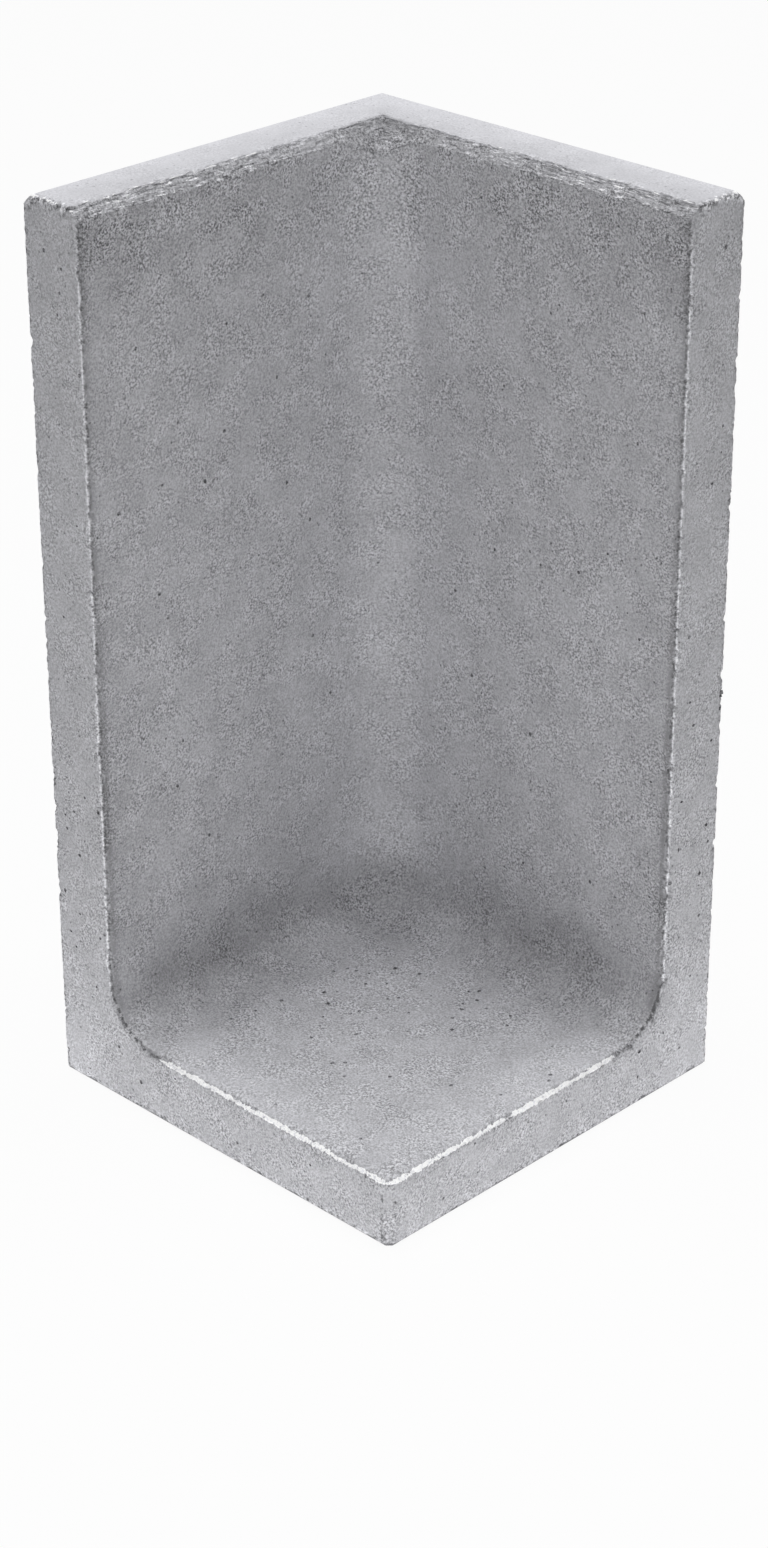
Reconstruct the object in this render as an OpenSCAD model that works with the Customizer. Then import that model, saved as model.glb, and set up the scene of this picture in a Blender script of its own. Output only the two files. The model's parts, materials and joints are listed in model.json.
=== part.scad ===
// Corner element of a retaining wall, cast in one piece of concrete.
// Two upright walls meet at a right angle and stand on one square foot plate.
// The outer corner points to -X and +Y, and the tip of the foot to +X and -Y.
// The origin is the centre of the sole, and +Z is up.

/* [Overall] */
// Length of the element along X
leg_x = 400; // [300:10:600]
// Length of the element along Y
leg_y = 400; // [300:10:600]
// Height from the sole to the crown
height = 800; // [400:10:1200]

/* [Sections] */
// Thickness of the two upright walls
wall_t = 65; // [50:1:100]
// Thickness of the foot plate
foot_t = 65; // [50:1:100]
// Radius that rounds the inside, wall to foot and wall to wall
root_r = 50; // [20:1:80]

/* [Chamfers] */
// Chamfer along the outer edges of the crown
crown_outer = 11; // [3:0.5:20]
// Chamfer along the inner edges of the crown
crown_inner = 10; // [3:0.5:20]
// Chamfer down the outer corner of the walls
back_corner = 11; // [3:0.5:20]
// Chamfer down the tip of the foot
tip_corner = 8; // [3:0.5:20]
// Chamfer on the inner edges of the butt faces, and along the front of the foot
arris = 5; // [2:0.5:10]
// Chamfer on the outer edges of the butt faces, and round the sole
outer_arris = 2; // [1:0.5:10]

/* [Hidden] */
$fn = 96;
// How far a cutter reaches past the face that it opens
over = 20;
// Centre of the ball that rounds the inside where its three faces meet
ball = [wall_t + root_r, wall_t + root_r, foot_t + root_r];
// Where every cutter ends, outside the block
far = [leg_x + over, leg_y + over, height + over];
// Upper inner edge of the walls, and the level that their inner chamfer is cut down to
lip = wall_t - crown_inner;
flare_z = height - crown_inner - root_r;

// The modules below work from the outer corner, with both walls on the positive side.

// Lays what runs along X along Y instead
module swapped() {
    mirror([1, -1, 0]) children();
}

// Section of every chamfer cutter: a square on its corner, `leg` from centre to corner
module diamond(leg) {
    polygon([[leg, 0], [0, leg], [-leg, 0], [0, -leg]]);
}

// Bar along X that chamfers the edge on its axis by `leg` on both faces
module edge_bar(length, leg) {
    rotate([90, 0, 90]) linear_extrude(length) diamond(leg);
}

// The block that the element fills, with its upright corners cut
module block() {
    linear_extrude(height)
        polygon([
            [0, back_corner], [back_corner, 0],
            [leg_x - outer_arris, 0], [leg_x, outer_arris],
            [leg_x, leg_y - tip_corner], [leg_x - tip_corner, leg_y],
            [outer_arris, leg_y], [0, leg_y - outer_arris]
        ]);
}

// The core of the mould: it leaves the walls and the foot, and rounds the inside
module core() {
    for (face = [[wall_t, ball.y, ball.z], [ball.x, wall_t, ball.z], [ball.x, ball.y, foot_t]])
        translate(face) cube(far - face);
    translate(ball) {
        sphere(root_r);
        cylinder(h = far.z - ball.z, r = root_r);
        rotate([0, 90, 0]) cylinder(h = far.x - ball.x, r = root_r);
        rotate([-90, 0, 0]) cylinder(h = far.y - ball.y, r = root_r);
    }
}

// Inner chamfer of the crown: one sloping plane per wall, mitred on the diagonal
module crown_flare() {
    intersection() {
        flare_along(far.x, far.y);
        swapped() flare_along(far.y, far.x);
    }
}

// Cutter with its sloping plane along X
module flare_along(length, depth) {
    rotate([90, 0, 90])
        linear_extrude(length)
            polygon([
                [lip - over, height + over], [depth, height + over],
                [depth, flare_z], [wall_t + root_r, flare_z]
            ]);
}

// Outer edge of the crown and both edges of the sole that run along X
module long_edges(length, width) {
    translate([-over, 0, height]) edge_bar(length + 2 * over, crown_outer);
    for (y = [0, width])
        translate([-over, y, 0]) edge_bar(length + 2 * over, outer_arris);
}

// Inner edge of the butt face at x = length: down the wall, round the root, out along the foot
module butt_edge(length, width) {
    translate([length, wall_t, ball.z])
        rotate([0, -90, 0]) edge_bar(far.z - ball.z, arris);
    translate([length, ball.y, ball.z])
        rotate([90, 0, 90]) rotate(180)
            rotate_extrude(angle = 90) translate([root_r, 0]) diamond(arris);
    translate([length, ball.y, foot_t])
        rotate(90) edge_bar(width + over - ball.y, arris);
}

module corner_wall_element() {
    color("darkgray")
        translate([-leg_x / 2, leg_y / 2, 0])
            mirror([0, 1, 0])
                difference() {
                    block();
                    core();
                    crown_flare();
                    long_edges(leg_x, leg_y);
                    swapped() long_edges(leg_y, leg_x);
                    butt_edge(leg_x, leg_y);
                    swapped() butt_edge(leg_y, leg_x);
                }
}

corner_wall_element();
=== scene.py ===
# %% [markdown]
# # A precast concrete corner element, from mould to weathered surface
#
# The object is one piece of cast concrete: two upright walls that meet at a right
# angle and stand on one square foot plate. It closes the corner of a low retaining
# wall. This lesson models it the way it is cast, as a block with the core of the
# mould taken out of it, then opens its pores, wears its edges and gives it the
# finish of pale grey, fine-grained concrete.

import json
import math
import random

import bpy
import numpy as np
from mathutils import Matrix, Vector, kdtree

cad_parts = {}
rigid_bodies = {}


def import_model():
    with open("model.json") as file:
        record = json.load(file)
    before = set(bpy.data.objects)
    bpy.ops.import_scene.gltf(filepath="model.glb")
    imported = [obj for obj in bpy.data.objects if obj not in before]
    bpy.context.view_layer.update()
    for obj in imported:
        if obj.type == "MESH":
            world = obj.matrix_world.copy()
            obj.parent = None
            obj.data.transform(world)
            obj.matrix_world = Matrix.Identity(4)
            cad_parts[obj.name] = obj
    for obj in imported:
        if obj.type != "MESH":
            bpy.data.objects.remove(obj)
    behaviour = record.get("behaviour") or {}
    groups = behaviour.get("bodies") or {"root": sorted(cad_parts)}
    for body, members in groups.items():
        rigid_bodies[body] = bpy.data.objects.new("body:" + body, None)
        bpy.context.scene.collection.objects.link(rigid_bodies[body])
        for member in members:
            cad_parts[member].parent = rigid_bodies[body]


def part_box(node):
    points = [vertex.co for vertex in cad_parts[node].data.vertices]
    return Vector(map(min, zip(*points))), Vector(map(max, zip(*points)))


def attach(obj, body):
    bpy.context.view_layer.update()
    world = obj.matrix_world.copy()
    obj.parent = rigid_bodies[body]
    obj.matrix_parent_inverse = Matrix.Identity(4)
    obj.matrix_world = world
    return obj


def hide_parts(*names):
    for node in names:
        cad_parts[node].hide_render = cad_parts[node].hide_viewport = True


bpy.ops.object.select_all(action="SELECT")
bpy.ops.object.delete()
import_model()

NODE = "corner_wall_element"
low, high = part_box(NODE)
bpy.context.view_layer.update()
print("the element measures", [round(1000 * side) for side in high - low], "mm")

# %% [markdown]
# ## Sizes
#
# The outer sizes come from the fixed model. The sections and the chamfers are the
# mould maker's: walls and foot of one thickness, one radius for every inner rounding,
# and a chamfer on every edge, because a sharp concrete edge breaks when the mould is
# struck. Everything is in metres.

# %% Sizes of the sections and chamfers
WALL = 0.065
FOOT = 0.065
ROOT = 0.050
CROWN_OUTER = 0.011
CROWN_INNER = 0.010
BACK_CORNER = 0.011
TIP_CORNER = 0.008
ARRIS = 0.005
OUTER_ARRIS = 0.002
NEAR = 1e-5

inner_x = low.x + WALL
inner_y = high.y - WALL
flare_z = high.z - CROWN_INNER
print("inner faces at x =", round(inner_x, 4), "and y =", round(inner_y, 4))

# %% [markdown]
# ## The block
#
# The element fills a plain block, so the outside is made first: a cube at full size,
# with its edges sliced off. A chamfer on an outer edge is a flat cut through the whole
# block, and Bisect makes just that cut and closes it again. Bevel would do it too, but
# the cuts differ in width and meet at corners, and a plane always mitres cleanly.

# %% Helpers for whole objects
def add_block(name, corner_a, corner_b):
    bpy.ops.object.select_all(action="DESELECT")
    bpy.ops.mesh.primitive_cube_add(size=1, location=(corner_a + corner_b) / 2)
    block = bpy.context.object
    block.name = name
    block.scale = corner_b - corner_a
    bpy.ops.object.transform_apply(location=True, rotation=True, scale=True)
    return block


def slice_edge(side_a, side_b, leg):
    """Cuts the block's edge between two sides back by leg on both of them."""
    out = Vector(side_a) + Vector(side_b)
    on_edge = Vector(high[i] if out[i] > 0 else low[i] for i in range(3))
    bpy.ops.mesh.select_all(action="SELECT")
    bpy.ops.mesh.bisect(
        plane_co=on_edge - Vector(side_a) * leg,
        plane_no=out,
        use_fill=True,
        clear_outer=True,
    )


# %% Cut the block's outer edges
LEFT, RIGHT = (-1, 0, 0), (1, 0, 0)
FRONT, BACK = (0, -1, 0), (0, 1, 0)
UNDER, TOP = (0, 0, -1), (0, 0, 1)

element = add_block("cast_concrete_corner", low, high)
bpy.ops.object.mode_set(mode="EDIT")
slice_edge(LEFT, TOP, CROWN_OUTER)
slice_edge(BACK, TOP, CROWN_OUTER)
slice_edge(LEFT, BACK, BACK_CORNER)
slice_edge(RIGHT, FRONT, TIP_CORNER)
slice_edge(LEFT, FRONT, OUTER_ARRIS)
slice_edge(RIGHT, BACK, OUTER_ARRIS)
for side in (LEFT, RIGHT, FRONT, BACK):
    slice_edge(side, UNDER, OUTER_ARRIS)
bpy.ops.object.mode_set(mode="OBJECT")
print("block with", len(element.data.polygons), "faces")

# %% [markdown]
# ## The core
#
# Inside, the mould has a core: a steel box with rounded edges that leaves the two walls
# and the foot standing. It could be built up from the foot by extruding the walls, but
# then the three roundings would have to be blended by hand where they meet. Taking the
# core out of the block gives that corner for free, because bevelling three edges of a
# cube that share a corner rounds it like a ball.

# %% Helper to pick edges by place
def pick_edges(obj, wanted):
    """Leaves obj in edit mode with just the edges selected whose two ends pass wanted."""
    bpy.ops.object.mode_set(mode="EDIT")
    bpy.ops.mesh.select_mode(type="EDGE")
    bpy.ops.mesh.select_all(action="DESELECT")
    bpy.ops.object.mode_set(mode="OBJECT")
    for edge in obj.data.edges:
        start, end = (obj.data.vertices[i].co for i in edge.vertices)
        edge.select = wanted(start) and wanted(end)
    bpy.ops.object.mode_set(mode="EDIT")


def take_out(cutter):
    """Cuts cutter out of the element and deletes it."""
    cut = element.modifiers.new(cutter.name, "BOOLEAN")
    cut.operation = "DIFFERENCE"
    cut.solver = "EXACT"
    cut.object = cutter
    bpy.ops.object.select_all(action="DESELECT")
    bpy.context.view_layer.objects.active = element
    bpy.ops.object.modifier_apply(modifier=cut.name)
    cutter.select_set(True)
    bpy.ops.object.delete()


# %% Round the core and take it out
REACH = 0.02
ROUNDING_STEPS = 20

core = add_block(
    "mould_core",
    Vector((inner_x, low.y - REACH, FOOT)),
    Vector((high.x + REACH, inner_y, high.z + REACH)),
)


def on_two_core_faces(point):
    gaps = point.x - inner_x, point.y - inner_y, point.z - FOOT
    return sum(abs(gap) < NEAR for gap in gaps) >= 2


pick_edges(core, on_two_core_faces)
bpy.ops.mesh.bevel(offset=ROOT, segments=ROUNDING_STEPS, affect="EDGES", profile=0.5)
bpy.ops.object.mode_set(mode="OBJECT")
take_out(core)
print("walls and foot stand, with", len(element.data.polygons), "faces")

# %% [markdown]
# ## The inner chamfer of the crown
#
# A strip in the mould slopes the inner edge of the crown back at 45 degrees. The two
# strips are mitred where the walls meet, so the upper edge keeps a sharp corner while
# the wall below it is rounded. That is a second cutter: a block whose two inner sides
# lean outwards by as much as they rise.

# %% Take out the sloping collar
collar_run = ROOT + CROWN_INNER + REACH
collar = add_block(
    "mould_collar",
    Vector((inner_x + ROOT, low.y - REACH, flare_z - ROOT)),
    Vector((high.x + REACH, inner_y - ROOT, high.z + REACH)),
)
pick_edges(collar, lambda p: p.z > high.z and p.x < inner_x + ROOT + NEAR)
bpy.ops.transform.translate(value=(-collar_run, 0, 0))
pick_edges(collar, lambda p: p.z > high.z and p.y > inner_y - ROOT - NEAR)
bpy.ops.transform.translate(value=(0, collar_run, 0))
bpy.ops.object.mode_set(mode="OBJECT")
take_out(collar)
print("crown chamfered, with", len(element.data.polygons), "faces")

# %% [markdown]
# ## The inner edges of the butt faces
#
# Each butt face has one more chamfer: it runs down the wall, round the root and out
# along the foot to the tip. This edge is not on the outside of the block, so a plane
# can't slice it. Bevel can, once the chain of edges is picked by its place.

# %% Bevel the butt edges
bpy.ops.object.select_all(action="DESELECT")
element.select_set(True)
bpy.context.view_layer.objects.active = element


def on_butt_edge(point):
    if not FOOT - NEAR < point.z < flare_z + NEAR:
        return False
    on_front = abs(point.y - low.y) < NEAR and inner_x - NEAR < point.x < high.x - TIP_CORNER + NEAR
    on_right = abs(point.x - high.x) < NEAR and low.y + TIP_CORNER - NEAR < point.y < inner_y + NEAR
    return on_front or on_right


pick_edges(element, on_butt_edge)
bpy.ops.mesh.bevel(offset=ARRIS, segments=1, affect="EDGES", profile=0.5)
bpy.ops.mesh.select_all(action="SELECT")
bpy.ops.mesh.remove_doubles(threshold=NEAR)
bpy.ops.object.mode_set(mode="OBJECT")
print("butt edges bevelled, with", len(element.data.polygons), "faces")

# %% [markdown]
# The last edges, where the crown ends at the butt faces, were struck off with a trowel
# and have no chamfer. A bevel of 1.5 mm stands for the rounding that handling gives them.

# %% Round the ends of the crown
HANDLED = 0.0015


def on_crown_end(point):
    at_end = abs(point.y - low.y) < NEAR or abs(point.x - high.x) < NEAR
    return at_end and abs(point.z - high.z) < NEAR


pick_edges(element, on_crown_end)
bpy.ops.mesh.bevel(offset=HANDLED, segments=1, affect="EDGES", profile=0.5)
bpy.ops.object.mode_set(mode="OBJECT")
print("crown ends rounded, with", len(element.data.polygons), "faces")

# %% [markdown]
# ## Mark the edges that wear
#
# The chamfers will be worn later, and some are paler or rougher than others. While the
# mesh is still simple, each face's slope says what it belongs to, so the zone is written
# on the faces now, as an attribute that every later cut passes on to the new faces.

# %% Write the zones on the faces
ZONE_NAMES = "plain", "sole edge", "outer edge", "top end", "butt edge", "foot edge", "collar", "hole"
PLAIN, SOLE_EDGE, OUTER_EDGE, TOP_END, BUTT_EDGE, FOOT_EDGE, COLLAR, HOLE = range(len(ZONE_NAMES))


def is_chamfer(part):
    """Says whether this part of a face's normal is that of a slope near 45 degrees."""
    return 0.6 < part < 0.8


def zone_of(face):
    x, y, z = face.normal
    from_right, from_front = high.x - face.center.x, face.center.y - low.y
    at_butt = min(from_right, from_front) < ARRIS or from_right + from_front < TIP_CORNER + 2 * ARRIS
    is_inner = x > -0.1 and y < 0.1
    if at_butt and face.center.z > flare_z and z > 0.5:
        return TOP_END
    if is_inner and face.center.z > flare_z - ROOT and is_chamfer(z):
        return COLLAR
    if at_butt and is_inner and face.center.z > FOOT - ARRIS:
        if 0.69 < z < 0.72:
            return FOOT_EDGE
        if is_chamfer(max(-y, x)):
            return BUTT_EDGE
    if is_chamfer(-z):
        return SOLE_EDGE
    slopes = sorted(abs(part) for part in face.normal)
    return OUTER_EDGE if slopes[0] < 0.01 and slopes[1] > 0.7 and z < 0.1 else PLAIN


zone = element.data.attributes.new("zone", "INT", "FACE")
zone.data.foreach_set("value", [zone_of(face) for face in element.data.polygons])
for number, name in enumerate(ZONE_NAMES):
    print(name, sum(mark.value == number for mark in zone.data), "faces")

# %% [markdown]
# ## A grid to work on
#
# Wear moves points, so the big flat faces need points to move. Remesh would make an even
# mesh, but one fine enough for a 5 mm chamfer would spend most of its faces on flat walls.
# Instead, planes slice the whole element into a coarse grid, and the worn edges are then
# subdivided again and again, the roughest of them most often.

# %% Slice the element into a grid
CELLS_ACROSS = 28
PITCH = (high.x - low.x) / CELLS_ACROSS

bpy.ops.object.mode_set(mode="EDIT")
bpy.ops.mesh.select_mode(type="FACE")
for axis in range(3):
    along = Vector(1.0 if i == axis else 0.0 for i in range(3))
    for step in range(1, round((high[axis] - low[axis]) / PITCH)):
        bpy.ops.mesh.select_all(action="SELECT")
        bpy.ops.mesh.bisect(plane_co=low + along * step * PITCH, plane_no=along)
bpy.ops.object.mode_set(mode="OBJECT")
print("grid of", len(element.data.polygons), "faces")


# %% Subdivide the worn edges
def pick_faces(obj, wanted):
    """Leaves obj in edit mode with just the faces selected that wanted marks."""
    bpy.ops.object.mode_set(mode="EDIT")
    bpy.ops.mesh.select_mode(type="FACE")
    bpy.ops.mesh.select_all(action="DESELECT")
    bpy.ops.object.mode_set(mode="OBJECT")
    obj.data.polygons.foreach_set("select", wanted)
    bpy.ops.object.mode_set(mode="EDIT")


def zones_of_faces():
    marks = np.empty(len(element.data.polygons), np.int32)
    element.data.attributes["zone"].data.foreach_get("value", marks)
    return marks


def count_open_edges():
    """Counts the edges that don't join exactly two faces; a closed surface has none."""
    edges = np.empty(len(element.data.loops), np.int32)
    element.data.loops.foreach_get("edge_index", edges)
    return int((np.bincount(edges, minlength=len(element.data.edges)) != 2).sum())


for least_zone, rings in ((SOLE_EDGE, 1), (SOLE_EDGE, 0), (OUTER_EDGE, 1), (COLLAR, 0)):
    pick_faces(element, zones_of_faces() >= least_zone)
    for _ in range(rings):
        bpy.ops.mesh.select_more()
    bpy.ops.mesh.subdivide(number_cuts=1)
    bpy.ops.object.mode_set(mode="OBJECT")
    print("from", ZONE_NAMES[least_zone], "on:", len(element.data.polygons), "faces")
print("open edges:", count_open_edges())

# %% [markdown]
# ## Bug holes
#
# Air bubbles stay caught between the wet concrete and the steel, and leave round holes 2
# to 4 mm wide, which are called bug holes. They could be painted on, but a real hole has
# a shaded side and a lit side. Many small spheres, made as one object, are taken out of
# the element in a single cut. It comes before the wear, while the faces are still flat,
# because the boolean cuts flat faces cleanly. For its sake too, no bubble's middle lies
# exactly on a face and no two bubbles touch.

# %% Helper to spread bubbles over a surface
SINK = -0.0005, 0.0005
APART = 0.006
MARGIN = 0.03
CLUSTER_WIDTH = 0.28
SMALL = 0.0009, 0.0018
LARGE = 0.0011, 0.0021
SEED = 7

draw = random.Random(SEED)
bubbles = []


def spread(corner, side_a, side_b, count, sizes=SMALL, cluster=None):
    """Adds bubbles on the panel that side_a and side_b span from corner, denser at cluster."""
    corner, side_a, side_b = Vector(corner), Vector(side_a), Vector(side_b)
    across = side_a.cross(side_b).normalized()
    wanted = len(bubbles) + count
    while len(bubbles) < wanted:
        if cluster:
            a, b = (draw.gauss(middle, CLUSTER_WIDTH) for middle in cluster)
        else:
            a, b = draw.random(), draw.random()
        place = corner + side_a * a + side_b * b + across * draw.uniform(*SINK)
        is_free = all((place - other).length > APART for other, radius in bubbles)
        if MARGIN < a < 1 - MARGIN and MARGIN < b < 1 - MARGIN and is_free:
            bubbles.append((place, draw.uniform(*sizes)))


# %% Spread the bubbles
inner_run = high.x - inner_x - ROOT
inner_rise = flare_z - FOOT - ROOT
foot_corner = Vector((inner_x + ROOT, inner_y - ROOT, FOOT))
spread(foot_corner, (inner_run, 0, 0), (0, -inner_run, 0), count=44, sizes=LARGE, cluster=(0.22, 0.22))
spread(foot_corner, (inner_run, 0, 0), (0, -inner_run, 0), count=10)
spread((inner_x + ROOT, inner_y, FOOT + ROOT), (inner_run, 0, 0), (0, 0, inner_rise), count=26)
spread((inner_x, inner_y - ROOT, FOOT + ROOT), (0, -inner_run, 0), (0, 0, inner_rise), count=26)
spread((low.x, low.y, FOOT), (WALL, 0, 0), (0, 0, flare_z - FOOT), count=26)
spread((high.x, high.y, FOOT), (0, -WALL, 0), (0, 0, flare_z - FOOT), count=26)
spread((low.x, low.y, 0), (high.x - low.x, 0, 0), (0, 0, FOOT), count=8)
spread((high.x, high.y, 0), (0, low.y - high.y, 0), (0, 0, FOOT), count=8)
spread((low.x, low.y, 0), (0, high.y - low.y, 0), (0, 0, flare_z), count=70)
spread((low.x, high.y, 0), (high.x - low.x, 0, 0), (0, 0, flare_z), count=70)
print(len(bubbles), "bug holes")

# %% [markdown]
# A material needs to know where the holes are, because painted shade darkens their floors.
# The spheres carry the same attribute as the element, so the boolean itself marks the new
# faces.

# %% Take the bubbles out
STRETCH = 0.8, 1.3

bpy.ops.object.select_all(action="DESELECT")
bpy.ops.mesh.primitive_ico_sphere_add(subdivisions=2, radius=bubbles[0][1], location=bubbles[0][0])
cutter = bpy.context.object
bpy.ops.object.transform_apply(location=True, rotation=True, scale=True)
bpy.ops.object.mode_set(mode="EDIT")
for place, radius in bubbles[1:]:
    scale = 1, draw.uniform(*STRETCH), draw.uniform(*STRETCH)
    bpy.ops.mesh.primitive_ico_sphere_add(subdivisions=2, radius=radius, location=place, scale=scale)
bpy.ops.object.mode_set(mode="OBJECT")
hole_marks = cutter.data.attributes.new("zone", "INT", "FACE")
hole_marks.data.foreach_set("value", [HOLE] * len(cutter.data.polygons))
take_out(cutter)
print("faces inside holes:", int((zones_of_faces() == HOLE).sum()))
print("with bug holes", len(element.data.loops) - 2 * len(element.data.polygons), "triangles")
print("open edges", count_open_edges())

# %% [markdown]
# ## How near each point is to a worn edge
#
# A modifier is told where to work by a vertex group. The weight is full on the chamfer
# itself and fades out over a few millimetres, so that wear runs out softly into the faces.
# A k-d tree finds the nearest point of a zone quickly. The same weights are kept as
# attributes, where the material will find them. The outer edges are weighed from the
# border of the zone alone, so that a wide chamfer stays smooth in its middle. Points on
# the sole weigh nothing, so the element goes on standing flat.

# %% Helpers to read, move and weigh the points
def points_of(obj):
    places = np.empty(3 * len(obj.data.vertices))
    obj.data.vertices.foreach_get("co", places)
    return places.reshape(-1, 3)


def move_points(obj, places):
    obj.data.vertices.foreach_set("co", places.ravel())
    obj.data.update()


def weigh(name, zones, reach, from_border=False):
    """Adds a vertex group that fades from 1 in the zones to 0 at reach, and an attribute."""
    marks = zones_of_faces()
    inside, outside = set(), set()
    for face in element.data.polygons:
        (inside if marks[face.index] in zones else outside).update(face.vertices)
    full = inside & outside if from_border else inside
    tree = kdtree.KDTree(len(full))
    for i in full:
        tree.insert(element.data.vertices[i].co, i)
    tree.balance()
    group = element.vertex_groups.new(name="near_" + name)
    values = np.zeros(len(element.data.vertices), np.float32)
    for point in element.data.vertices:
        if point.co.z < NEAR:
            continue
        distance = tree.find(point.co)[2]
        if distance < reach:
            values[point.index] = 1 - distance / reach
            group.add([point.index], float(values[point.index]), "REPLACE")
    element.data.attributes.new(name, "FLOAT", "POINT").data.foreach_set("value", values)
    print(name, "covers", int((values > 0).sum()), "points")


# %% Weigh the worn edges
weigh("outer_edge", (SOLE_EDGE, OUTER_EDGE), 0.004, from_border=True)
weigh("top_end", (TOP_END,), 0.003)
weigh("butt_edge", (BUTT_EDGE,), 0.004)
weigh("foot_edge", (FOOT_EDGE,), 0.004)
weigh("collar", (COLLAR,), 0.003)

# %% [markdown]
# ## Wear
#
# Concrete never leaves a mould with perfect edges. Sand grains pull out along them, and
# small chips go when the pieces are stacked. A sculptor's brush would do, but a Displace
# modifier treats every edge alike and can be run again: it moves points along their
# normals by a texture. Pulled sand is a fine texture with some contrast. Chips are a
# coarser one with so much contrast that it is blank nearly everywhere and deep in a few
# places. The strength is negative, because wear only takes away.

# %% Helper for a layer of wear
def wear(name, depth, grain, group, contrast=1.0, brightness=1.0, guide=None):
    """Takes up to depth off the surface, in patches about one grain across."""
    texture = bpy.data.textures.new(name, "CLOUDS")
    texture.noise_scale = grain
    texture.noise_depth = 2
    texture.contrast = contrast
    texture.intensity = brightness
    texture.use_clamp = True
    layer = element.modifiers.new(name, "DISPLACE")
    layer.texture = texture
    layer.texture_coords = "OBJECT" if guide else "LOCAL"
    layer.texture_coords_object = guide
    layer.vertex_group = group
    layer.mid_level = 0
    layer.strength = -depth
    bpy.ops.object.select_all(action="DESELECT")
    bpy.context.view_layer.objects.active = element
    bpy.ops.object.modifier_apply(modifier=layer.name)


# %% Wear the edges
PULLED_GRAIN = 0.0036
CHIP_GRAIN = 0.0095

whole = points_of(element)
for edge, sand_depth, chip_depth in (
    ("outer_edge", 0.0007, 0.0024),
    ("top_end", 0.0012, 0.0030),
    ("butt_edge", 0.0010, 0.0018),
    ("foot_edge", 0.0012, 0.0026),
):
    wear("pulled_sand_" + edge, sand_depth, PULLED_GRAIN, "near_" + edge, contrast=2)
    wear("chips_" + edge, chip_depth, CHIP_GRAIN, "near_" + edge, contrast=5, brightness=0.2)
lost = points_of(element) - whole
depth = np.linalg.norm(lost, axis=1, keepdims=True)
print("most wear", round(1000 * float(depth.max()), 2), "mm")

# %% [markdown]
# Where two edges meet, as at the tip of the foot, the wear of both is taken off, and would
# leave a pit that no real corner has. So there is a limit to what any point may lose.

# %% Limit the wear
MOST_WEAR = 0.0022

move_points(element, whole + lost * MOST_WEAR / np.maximum(depth, MOST_WEAR))
print("points held back:", int((depth > MOST_WEAR).sum()))

# %% [markdown]
# The inner chamfer of the crown is rougher than the others, and its roughness runs along
# the edge, in the direction in which the crown was struck off. An empty guides the texture:
# it is stretched along both walls but not upwards, so each patch becomes a level streak.

# %% Tear the crown's inner chamfer
STREAK = 7

before = points_of(element)
bpy.ops.object.empty_add()
guide = bpy.context.object
guide.scale = (STREAK, STREAK, 1)
bpy.context.view_layer.update()
wear("torn_collar", 0.0012, 0.0018, "near_collar", contrast=4, guide=guide)
guide.select_set(True)
bpy.ops.object.delete()
moved = np.linalg.norm(points_of(element) - before, axis=1)
print("deepest streak", round(1000 * float(moved.max()), 2), "mm")

# %% [markdown]
# Where a chip is deep its floor can lean outwards, and the next layer of wear then pushes
# it a little past the mould. Such points are put back on the mould's face.

# %% Keep the wear inside the mould
worn = points_of(element)
in_mould = np.clip(worn, low, high)
move_points(element, in_mould)
print("points put back:", int((worn != in_mould).any(axis=1).sum()))

# %% [markdown]
# ## Smooth shading
#
# Faces that meet at less than 35 degrees are shaded as one surface, so the roundings look
# round and the chamfers stay crisp. The rims of the bug holes are marked sharp whatever
# their angle, or a shallow hole would smear its shade over the wall around it.

# %% Shade the element
SMOOTH_BELOW = math.radians(35)

bpy.ops.object.select_all(action="DESELECT")
element.select_set(True)
bpy.context.view_layer.objects.active = element
bpy.ops.object.shade_smooth_by_angle(angle=SMOOTH_BELOW)
pick_faces(element, zones_of_faces() == HOLE)
bpy.ops.mesh.region_to_loop()
bpy.ops.mesh.mark_sharp()
bpy.ops.object.mode_set(mode="OBJECT")
print("finished mesh with", count_open_edges(), "open edges")

# %% [markdown]
# ## Where the concrete is paler or darker
#
# A cast piece is never one even grey, but most of the broad shades here are painted light and
# shade. The trowelled crown is smooth, and paler partly from its finish and partly from
# painted light; painted light brightens the outer part of the foot, painted shade darkens the
# root, and the skin just under the crown is coarser, with painted shade on it. These broad
# shades could be built from shader nodes, but they are plain sums on the distance from a wall
# or an edge, so they are worked out here and painted on as an attribute. It is painted on the
# corners of the faces, not on the points, so that two faces that share an edge can differ
# sharply along it.

# %% Measure every corner of every face
MM = 0.001

corner_point = np.empty(len(element.data.loops), np.int32)
element.data.loops.foreach_get("vertex_index", corner_point)
corners_of_face = np.empty(len(element.data.polygons), np.int32)
element.data.polygons.foreach_get("loop_total", corners_of_face)
corner_zone = np.repeat(zones_of_faces(), corners_of_face)
face_normals = np.empty(3 * len(element.data.polygons))
element.data.polygons.foreach_get("normal", face_normals)
corner_normal = np.repeat(face_normals.reshape(-1, 3), corners_of_face, axis=0)

x, y, z = points_of(element)[corner_point].T
from_left = x - inner_x
from_back = inner_y - y
from_right = high.x - x
from_front = y - low.y
above_foot = z - FOOT
below_top = high.z - z
nearest_wall = np.minimum(from_left, from_back)
furthest_wall = np.maximum(from_left, from_back)
from_tip = (from_right + from_front - TIP_CORNER) / math.sqrt(2)
from_butt = np.minimum(np.minimum(from_right, from_front), from_tip)
print(len(corner_point), "corners measured")


# %% Helpers to fade and to paint
def fade(values, start, end, low_value=0.0, high_value=1.0):
    """Runs smoothly from low_value to high_value while values run from start to end."""
    share = np.clip((values - start) / (end - start), 0, 1)
    return low_value + (high_value - low_value) * share * share * (3 - 2 * share)


def weights_of(name):
    """Looks up a point attribute at every corner."""
    values = np.empty(len(element.data.vertices), np.float32)
    element.data.attributes[name].data.foreach_get("value", values)
    return values[corner_point]


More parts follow.
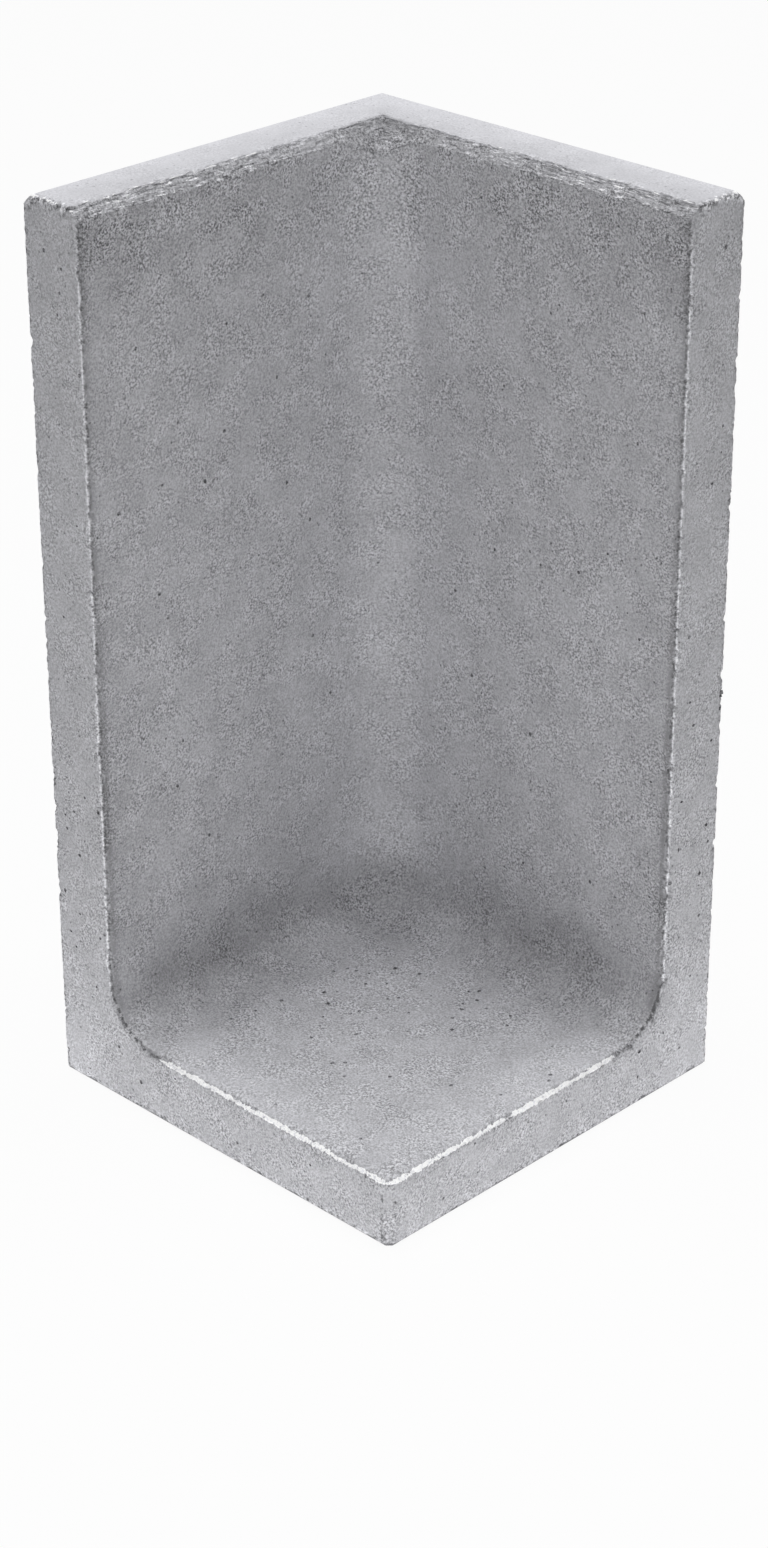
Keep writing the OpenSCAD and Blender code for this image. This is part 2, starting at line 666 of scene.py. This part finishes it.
def paint(name, values):
    element.data.attributes.new(name, "FLOAT", "CORNER").data.foreach_set("value", values)
    print(name, "runs from", round(float(values.min()), 2), "to", round(float(values.max()), 2))


# %% Shades of the crown
off_butt = fade(from_butt, 0, 1.5 * MM)
inside = fade(nearest_wall, -3 * MM, -1 * MM) * off_butt
faces_up = (corner_normal[:, 2] > 0.9) | (corner_zone == COLLAR) | (corner_zone == TOP_END)
crown = faces_up * off_butt * fade(below_top, 2.2 * MM, 0.6 * MM)
# The crown is paler partly from its trowelled finish and partly from painted light, strongest at the corner.
pale_and_lit_crown = crown * fade(from_left + from_back, -0.12, 0.33, 1.0, 0.8)
# A painted highlight along the crown's outer rim.
painted_highlight_rim = crown * fade(nearest_wall, -15 * MM, -60 * MM)
# Painted shade just under the crown, deeper toward the ends of the walls and in the collar's corner.
under_crown = inside * fade(below_top, 120 * MM, 30 * MM)
dark_ends = under_crown * fade(furthest_wall, 0.20, 0.33)
collar_corner = weights_of("collar") * fade(furthest_wall, 70 * MM, 20 * MM)
paint("under_crown", under_crown)

# %% Shades of the walls
# Painted light on the column in the inner corner and just above the ball corner; painted shade on the lower
# walls beside the butt edges, darker still close to them; painted light high on the butt faces and low at
# their outer ends.
low_and_high = np.maximum(fade(z, 0.60, 0.30), fade(z, 0.52, 0.70))
column = inside * fade(furthest_wall, 0.14, 0.06)
painted_light_column = column * low_and_high * fade(above_foot, 20 * MM, 60 * MM)
above_ball = fade(above_foot, 32 * MM, 62 * MM) * fade(above_foot, 130 * MM, 75 * MM)
painted_light_corner = inside * fade(furthest_wall, 0.11, 0.04) * above_ball
low_flank = fade(from_butt, 70 * MM, 10 * MM) * fade(z, 0.58, 0.30)
painted_shade_flank = inside * low_flank * fade(above_foot, 30 * MM, 90 * MM)
near_arris = inside * fade(from_butt, 17 * MM, 6 * MM) * fade(above_foot, 10 * MM, 40 * MM)
butt = fade(from_butt, 1.0 * MM, 0.2 * MM)
high_butt = butt * fade(z, 0.20, 0.50)
heel = butt * fade(z, 0.16, 0.04) * fade(nearest_wall, 10 * MM, -40 * MM)
print("a quarter of the dark flank is above", round(float(np.quantile(z[painted_shade_flank > 0.1], 0.75)), 2), "m")

# %% Shades of the foot
# Painted light lifts the top of the foot, most on its outer part, along its edges by the butt faces and in a
# band across its middle; painted shade darkens the corner low down.
foot_top = inside * fade(above_foot, -4 * MM, -1 * MM) * fade(above_foot, 30 * MM, 5 * MM)
painted_light_outer_foot = foot_top * fade(furthest_wall, 0.12, 0.31)
along_edge = fade(nearest_wall, 0.03, 0.07) * fade(nearest_wall, 0.12, 0.28, 1.0, 0.45)
painted_light_foot_edge = foot_top * along_edge * fade(from_butt, 70 * MM, 12 * MM)
mid_foot = foot_top * fade(furthest_wall, 0.06, 0.11) * fade(furthest_wall, 0.20, 0.13)
painted_corner_shade = inside * fade(furthest_wall, 0.09, 0.045) * fade(above_foot, 30 * MM, 10 * MM)
print("rubbed edge on", round(100 * float((painted_light_foot_edge > 0.1).mean())), "% of the corners")

# %% [markdown]
# Painted shade is darkest where wall and foot meet. Its distance is measured from the foot of
# the nearer wall, and near the corner the two walls are blended, so that the dark band runs
# round it in one bow. It reaches a little less far up the wall than out along the foot.

# %% Painted shade in the root
BLEND = 0.12
SQUEEZE = 1.15

closeness = np.maximum(BLEND - abs(from_left - from_back), 0) / BLEND
blended_wall = nearest_wall - closeness**3 * BLEND / 6
root_distance = np.hypot(blended_wall, SQUEEZE * above_foot)
root_sides = fade(furthest_wall, 0.05, 0.20, 0.52, 1.0) * fade(furthest_wall, 0.25, 0.33, 1.0, 0.4)
painted_root_shade = inside * root_sides * fade(root_distance, 95 * MM, 20 * MM)
print("dirt covers", round(100 * float((painted_root_shade > 0.1).mean())), "% of the corners")

# %% [markdown]
# The chamfer beside each butt face has three parts. Its outer part is as pale as the butt
# face, and ends in a thin bright line, partly broken sand and partly painted highlight. A dark,
# speckled line follows, and then a darker band. Low in the root the bright line gives
# way to a dark one.

# %% Shades of the butt edges
on_chamfer = fade(weights_of("butt_edge"), 0.70, 0.95)
on_foot_edge = weights_of("foot_edge")
arris_line = fade(from_butt, 1.4 * MM, 2.0 * MM) * fade(from_butt, 2.9 * MM, 2.3 * MM)
line_height = fade(above_foot, 8 * MM, 40 * MM) * fade(below_top, 20 * MM, 60 * MM)
paint("bright_arris", on_chamfer * arris_line * line_height)

arc_reach = fade(nearest_wall, 60 * MM, 55 * MM) * fade(above_foot, 45 * MM, 20 * MM)
arc_line = fade(from_butt, 1.4 * MM, 2.0 * MM) * fade(from_butt, 4.4 * MM, 3.4 * MM)
dark_arc = np.maximum(on_chamfer, on_foot_edge) * arc_reach * arc_line

below_collar = fade(below_top, 9 * MM, 14 * MM)
dark_line_span = fade(from_butt, 2.2 * MM, 2.8 * MM) * fade(from_butt, 4.6 * MM, 3.6 * MM)
paint("dark_arris", on_chamfer * dark_line_span * below_collar * fade(above_foot, 0.3 * MM, 1.0 * MM))

band_end = from_butt - fade(z, 0.60, 0.15, 0.0, 4 * MM)
band = fade(from_butt, 2.9 * MM, 3.7 * MM) * fade(band_end, 6.5 * MM, 4.5 * MM)
band_height = fade(above_foot, 0, 15 * MM) * below_collar
paint("darker_arris_band", band * band_height * fade(nearest_wall, -6 * MM, -4 * MM))

# %% [markdown]
# Three marks of their own remain. The collar is torn more the further it is from the
# corner. The inner edge of the foot is crushed, where elements were stacked on it, and a
# painted highlight brightens it further. And beside the tip of the foot two plates of the
# mould met, which left an upright line of pits.

# %% Shades of the torn collar, the crushed and highlit foot edge and the mould's joint
torn = weights_of("collar") * fade(furthest_wall, 40 * MM, 200 * MM, 0.4, 1.0)
paint("torn", torn)
crushed_and_lit = fade(from_butt, 4.0 * MM, 2.6 * MM) * fade(nearest_wall, 54 * MM, 59 * MM)
paint("crushed_and_highlit_edge", on_foot_edge * crushed_and_lit)
below_edge = 1 - on_foot_edge
rough_edge = weights_of("outer_edge") * below_edge * fade(from_tip, 2 * MM, 8 * MM, 0.3, 1.0)
paint("rough_edge", rough_edge)
from_joint = abs(from_right - TIP_CORNER)
joint = fade(from_joint, 2.0 * MM, 1.0 * MM) * fade(from_front, 1.0 * MM, 0.4 * MM)
paint("mould_joint", joint * below_edge)

# %% [markdown]
# The concrete's own grey and all the painted light and shade add up to one number for each
# corner: 0 is the darkest grey of this concrete and 1 is white. A second number says how
# strongly the sand grains show, which is least on the trowelled crown and most on the rough
# skin under it.

# %% Add the shades up
EVEN_GREY = 0.355
EVEN_SAND = 0.41

grey_and_painted_light = (
    EVEN_GREY
    + 0.28 * pale_and_lit_crown
    + 0.10 * painted_highlight_rim
    - 0.035 * under_crown
    - 0.05 * dark_ends
    - 0.12 * collar_corner
    + 0.05 * painted_light_column
    + 0.09 * painted_light_corner
    - 0.05 * painted_shade_flank
    - 0.05 * near_arris
    + 0.06 * high_butt
    + 0.07 * heel
    + 0.07 * foot_top
    + 0.05 * painted_light_outer_foot
    + 0.14 * painted_light_foot_edge
    + 0.04 * mid_foot
    - 0.04 * painted_corner_shade
    - 0.16 * painted_root_shade
    - 0.24 * dark_arc
    # painted shade on the floors of the bug holes
    - 0.26 * (corner_zone == HOLE)
)
sandiness = EVEN_SAND - 0.22 * crown + 0.14 * under_crown + 0.10 * foot_top - 0.10 * painted_root_shade
paint("grey_and_painted_light", grey_and_painted_light)
paint("sandiness", sandiness)

# %% [markdown]
# ## The concrete
#
# The element is cast from fine grey concrete in a steel mould and isn't painted or ground.
# To the eye that is a dull, cool grey skin with hardly any gloss, in which single sand
# grains and pinholes show. Only its lightness changes, so one number, the tone, runs from
# dark to pale: it starts as the concrete's grey with its painted light and shade, each
# pattern adds to it or takes from it, and a single ramp turns it into a colour.

# %% Helpers for materials
def srgb(code):
    """Turns a colour such as "a6a6a8" into the linear numbers that a shader wants."""
    parts = [int(code[i : i + 2], 16) / 255 for i in (0, 2, 4)]
    return [part / 12.92 if part <= 0.04045 else ((part + 0.055) / 1.055) ** 2.4 for part in parts] + [1]


def add_node(owner, kind, inputs=None, **settings):
    """Adds a node with its settings; an input is a value or another node's output."""
    node = owner.node_tree.nodes.new(kind)
    for name, value in settings.items():
        setattr(node, name, value)
    for socket, value in (inputs or {}).items():
        if isinstance(value, bpy.types.NodeSocket):
            owner.node_tree.links.new(value, node.inputs[socket])
        else:
            node.inputs[socket].default_value = value
    return node


def new_material(name):
    material = bpy.data.materials.new(name)
    material.use_nodes = True
    material.node_tree.nodes.clear()
    return material


# %% [markdown]
# Each pattern has the size of something real. The sand itself is under a millimetre, too
# fine to show from where one sees the whole element, so its grains are drawn about two
# millimetres apart. Specks are clots of sand and shallow pits, 4 to 5 mm apart. Pinholes
# are 1 to 2 mm wide, one in each 9 mm. Patches a few centimetres wide are more or less
# sandy, and clouds of cement paste are wider still. Noise is faintest on the planes of
# its own lattice, and flat faces could lie on one, so the noises are turned off the axes.

# %% Patterns of the concrete
GRAIN = 1.9 * MM
SPECK = 4.5 * MM
PATCH = 24 * MM
CLOUD = 32 * MM

concrete = new_material("cast_grey_concrete")
place = add_node(concrete, "ShaderNodeTexCoord").outputs["Object"]
turn = {"Vector": place, "Rotation": (0.5, 0.4, 0.7)}
turned_place = add_node(concrete, "ShaderNodeMapping", turn).outputs["Vector"]
noises = []
for size, detail, roughness in ((GRAIN, 2.0, 0.7), (SPECK, 3.0, 0.6), (PATCH, 2.0, 0.5), (CLOUD, 3.0, 0.6)):
    look = {"Vector": turned_place, "Scale": 1 / size, "Detail": detail, "Roughness": roughness}
    noises.append(add_node(concrete, "ShaderNodeTexNoise", look).outputs["Fac"])
grain, speck, patch, cloud = noises
print("sand grains", GRAIN / MM, "mm, clouds", CLOUD / MM, "mm")

# %% [markdown]
# Two more patterns aren't plain noise. Pinholes are the middles of Voronoi cells. The torn
# collar has streaks 1 to 2 mm high, which the mapping stretches along the walls as much as
# the wear was stretched there.

# %% Pinholes and streaks
PINHOLE = 9 * MM
STREAK_HEIGHT = 1.3 * MM

cells = {"Vector": place, "Scale": 1 / PINHOLE, "Randomness": 1.0}
to_pinhole = add_node(concrete, "ShaderNodeTexVoronoi", cells).outputs["Distance"]
stretch = {"Vector": place, "Scale": (1 / STREAK, 1 / STREAK, 1)}
level_place = add_node(concrete, "ShaderNodeMapping", stretch).outputs["Vector"]
streaks = {"Vector": level_place, "Scale": 1 / STREAK_HEIGHT, "Detail": 2.0, "Roughness": 0.6}
streak = add_node(concrete, "ShaderNodeTexNoise", streaks).outputs["Fac"]
print("pinholes", PINHOLE / MM, "mm apart, streaks", round(STREAK_HEIGHT / MM, 1), "mm high")

# %% [markdown]
# The sand comes first. Its noise is centred on zero, so that it doesn't change how light
# the concrete is on the whole, and then it is multiplied by the patches and by the
# sandiness of the place. The relief starts as the grains and, half as high, the specks.

# %% Sand on the grey and its painted light
SPECK_SHARE = 0.5

sand_ends = {"Value": grain, "From Min": 0.3, "From Max": 0.7, "To Min": -0.5, "To Max": 0.5}
sand = add_node(concrete, "ShaderNodeMapRange", sand_ends, interpolation_type="SMOOTHSTEP").outputs[0]
patch_ends = {"Value": patch, "From Min": 0.35, "From Max": 0.65, "To Min": 0.6, "To Max": 1.35}
patchy = add_node(concrete, "ShaderNodeMapRange", patch_ends, interpolation_type="SMOOTHSTEP").outputs[0]
patchy_sand = add_node(concrete, "ShaderNodeMath", {0: sand, 1: patchy}, operation="MULTIPLY").outputs[0]
grey_and_light_attribute = add_node(concrete, "ShaderNodeAttribute", attribute_name="grey_and_painted_light").outputs["Fac"]
contrast = add_node(concrete, "ShaderNodeAttribute", attribute_name="sandiness").outputs["Fac"]
tone_terms = {0: patchy_sand, 1: contrast, 2: grey_and_light_attribute}
tone = add_node(concrete, "ShaderNodeMath", tone_terms, operation="MULTIPLY_ADD").outputs[0]
height_terms = {0: speck, 1: SPECK_SHARE, 2: grain}
height = add_node(concrete, "ShaderNodeMath", height_terms, operation="MULTIPLY_ADD").outputs[0]
print("sand laid on the stain with", len(concrete.node_tree.nodes), "nodes")

# %% [markdown]
# The crushed edge of the foot is bright sand and painted highlight, with a ragged border.
# Specks, grains and clouds are added to its weight, and where the sum is high enough the
# bright edge shows. That cuts the border at a different depth everywhere.

# %% Crushed sand and painted highlight along the foot
CRUSHED_AND_LIT_BY = (speck, 1.0), (grain, 0.7), (cloud, 0.7)

crushed_and_lit_weight = add_node(concrete, "ShaderNodeAttribute", attribute_name="crushed_and_highlit_edge").outputs["Fac"]
for pattern, share in CRUSHED_AND_LIT_BY:
    terms = {0: pattern, 1: share, 2: crushed_and_lit_weight}
    crushed_and_lit_weight = add_node(concrete, "ShaderNodeMath", terms, operation="MULTIPLY_ADD").outputs[0]
print("crushed edge broken up by", len(CRUSHED_AND_LIT_BY), "patterns")

# %% [markdown]
# Every other feature is one row of a table: the attribute that says where it lies, or
# nothing for all over; the pattern that breaks it up; the two values of the pattern
# between which it comes up; how much paler or darker it makes the tone; and how far it
# stands out or lies deep in the relief.

# %% Features of the skin
FEATURES = (
    (None, cloud, 0.30, 0.70, 0.07, 0.0),
    (None, speck, 0.36, 0.28, -0.06, -0.7),
    # pinholes are dents in the relief, darkened by painted shade
    (None, to_pinhole, 0.13, 0.05, -0.20, -1.5),
    ("under_crown", speck, 0.36, 0.28, -0.10, 0.0),
    ("torn", streak, 0.56, 0.64, 0.50, 0.7),
    ("torn", streak, 0.45, 0.34, -0.22, -0.7),
    ("bright_arris", speck, 0.40, 0.52, 0.45, 0.0),
    ("dark_arris", speck, 0.62, 0.44, -0.22, 0.0),
    ("darker_arris_band", grain, 0.35, 0.55, -0.15, 0.0),
    ("top_end", speck, 0.50, 0.57, 0.50, 0.0),
    ("top_end", speck, 0.49, 0.42, -0.35, 0.0),
    ("rough_edge", speck, 0.54, 0.62, 0.25, 0.0),
    ("rough_edge", speck, 0.46, 0.38, -0.30, 0.0),
    ("mould_joint", speck, 0.62, 0.46, -0.30, 0.0),
    (None, crushed_and_lit_weight, 1.80, 2.02, 0.60, 0.0),
)

for where, pattern, start, end, paler, rise in FEATURES:
    shown = {"Value": pattern, "From Min": start, "From Max": end}
    amount = add_node(concrete, "ShaderNodeMapRange", shown, interpolation_type="SMOOTHSTEP").outputs[0]
    if where:
        weight = add_node(concrete, "ShaderNodeAttribute", attribute_name=where).outputs["Fac"]
        amount = add_node(concrete, "ShaderNodeMath", {0: amount, 1: weight}, operation="MULTIPLY").outputs[0]
    terms = {0: amount, 1: paler, 2: tone}
    tone = add_node(concrete, "ShaderNodeMath", terms, operation="MULTIPLY_ADD").outputs[0]
    if rise:
        terms = {0: amount, 1: rise, 2: height}
        height = add_node(concrete, "ShaderNodeMath", terms, operation="MULTIPLY_ADD").outputs[0]
print(len(FEATURES), "features of the skin")

# %% [markdown]
# The ramp turns the tone into the greys of cement, faintly blue. The relief is a bump
# less than a millimetre high. Rough concrete scatters nearly all light, so its roughness
# stays close to 1, and 1.5 is the IOR of quartz sand and of cement.

# %% Colour, relief and gloss
tones = add_node(concrete, "ShaderNodeValToRGB", {"Fac": tone})
tones.color_ramp.elements[0].position = 0.0
tones.color_ramp.elements[0].color = srgb("575759")
tones.color_ramp.elements[1].position = 1.0
tones.color_ramp.elements[1].color = srgb("ffffff")
tones.color_ramp.elements.new(0.85).color = srgb("e5e5ea")

bump = add_node(concrete, "ShaderNodeBump", {"Height": height, "Strength": 0.8, "Distance": 0.7 * MM})
gloss_ends = {"Value": grain, "From Min": 0.3, "From Max": 0.7, "To Min": 0.82, "To Max": 0.95}
skin = {
    "Base Color": tones.outputs["Color"],
    "Roughness": add_node(concrete, "ShaderNodeMapRange", gloss_ends).outputs["Result"],
    "IOR": 1.5,
    "Normal": bump.outputs["Normal"],
}
surface = add_node(concrete, "ShaderNodeBsdfPrincipled", skin).outputs["BSDF"]
add_node(concrete, "ShaderNodeOutputMaterial", {"Surface": surface})
element.data.materials.clear()
element.data.materials.append(concrete)
print("concrete made of", len(concrete.node_tree.nodes), "nodes")

# %% [markdown]
# ## The floor
#
# The floor is a plain sheet of white-painted board. Lit by the lamps alone it would turn
# out light grey and end at a horizon, and more lamps would bleach the concrete. So the
# board glows faintly, but only for rays that come straight from the camera or by way of
# something glossy or clear. The small share that is still paint keeps the shadow of the
# element.

# %% Helper for rays that see the background
def seen_directly(owner):
    """Is 1 for rays from the camera, and for those that gloss or glass has sent on."""
    path = add_node(owner, "ShaderNodeLightPath").outputs
    seen = path["Is Camera Ray"]
    for kind in ("Is Glossy Ray", "Is Transmission Ray"):
        seen = add_node(owner, "ShaderNodeMath", {0: seen, 1: path[kind]}, operation="MAXIMUM").outputs[0]
    return seen


# %% Lay the floor
FLOOR_SIZE = 14
FLOOR_GAP = 0.0005
GLOW_SHARE = 0.94

bpy.ops.object.select_all(action="DESELECT")
bpy.ops.mesh.primitive_plane_add(size=FLOOR_SIZE, location=(0, 0, low.z - FLOOR_GAP))
floor = bpy.context.object
floor.name = "studio_floor"
bpy.ops.object.transform_apply(location=True, rotation=True, scale=True)

white = new_material("white_painted_board")
paint_shader = add_node(white, "ShaderNodeBsdfDiffuse", {"Color": srgb("e8e8e8")}).outputs[0]
glow = add_node(white, "ShaderNodeEmission", {"Color": srgb("ffffff"), "Strength": 1.0}).outputs[0]
shares = {0: seen_directly(white), 1: GLOW_SHARE}
glow_share = add_node(white, "ShaderNodeMath", shares, operation="MULTIPLY").outputs[0]
mixed = add_node(white, "ShaderNodeMixShader", {0: glow_share, 1: paint_shader, 2: glow}).outputs[0]
add_node(white, "ShaderNodeOutputMaterial", {"Surface": mixed})
floor.data.materials.append(white)
print("floor", FLOOR_SIZE, "m wide")

# %% [markdown]
# ## The studio light
#
# The light is soft and comes mostly from above, so that the crown is the brightest face
# and the root lies in shade. The world gives an even fill, which reaches into the corner,
# and is seen as plain white itself. A large round softbox overhead does most of the work.
# A weaker one in front opens up the two butt faces, and a panel on the floor sends back
# the light that a white floor would.

# %% World
FILL = 0.29

world = bpy.data.worlds.new("studio")
bpy.context.scene.world = world
world.use_nodes = True
world.node_tree.nodes.clear()
levels = {"Value": seen_directly(world), "To Min": FILL, "To Max": 1.0}
level = add_node(world, "ShaderNodeMapRange", levels).outputs["Result"]
sky = add_node(world, "ShaderNodeBackground", {"Color": srgb("ffffff"), "Strength": level}).outputs[0]
add_node(world, "ShaderNodeOutputWorld", {"Surface": sky})
print("fill light", FILL)


# %% Softboxes
def add_softbox(name, place, aim, size, power):
    """Adds a round area lamp at place that points at aim and isn't seen itself."""
    bpy.ops.object.light_add(type="AREA", location=place)
    lamp = bpy.context.object
    lamp.name = name
    lamp.data.shape = "DISK"
    lamp.data.size = size
    lamp.data.energy = power
    lamp.rotation_euler = (Vector(aim) - Vector(place)).to_track_quat("-Z", "Y").to_euler()
    lamp.visible_camera = False
    print(name, power, "W")


add_softbox("overhead_softbox", (-0.3, 0.3, 6.0), (0.0, 0.0, 0.0), size=3.2, power=193)
add_softbox("floor_panel", (0.0, 0.0, 0.002), (0.0, 0.0, 1.0), size=1.4, power=5)
add_softbox("front_softbox", (2.8, -2.8, 1.5), (0.0, 0.0, 0.4), size=2.0, power=36)

# %% [markdown]
# ## The camera
#
# The element is seen from in front of its corner and from above, about three metres away,
# so that both walls and the whole foot show. A long lens keeps the upright edges nearly
# parallel. A camera held by hand is never quite level, so this one is rolled a little.

# %% Camera
camera_place = Vector((1.839, -1.863, 1.634))
LOOK_DOWN = math.radians(27.2)
FROM_FRONT = math.radians(44.66)
ROLL = math.radians(-0.16)
LENS = 80.9
SENSOR_WIDTH = 36

bpy.ops.object.camera_add(location=camera_place)
camera = bpy.context.object
camera.rotation_euler = (math.radians(90) - LOOK_DOWN, 0, FROM_FRONT)
camera.rotation_euler.rotate_axis("Z", ROLL)
camera.data.lens = LENS
camera.data.sensor_width = SENSOR_WIDTH
bpy.context.scene.camera = camera
bpy.context.scene.view_settings.view_transform = "Standard"
print("camera", round(camera_place.length, 2), "m from the element's foot")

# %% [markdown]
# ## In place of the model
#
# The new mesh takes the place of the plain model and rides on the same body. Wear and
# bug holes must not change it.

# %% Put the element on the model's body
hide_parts(NODE)
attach(element, "root")
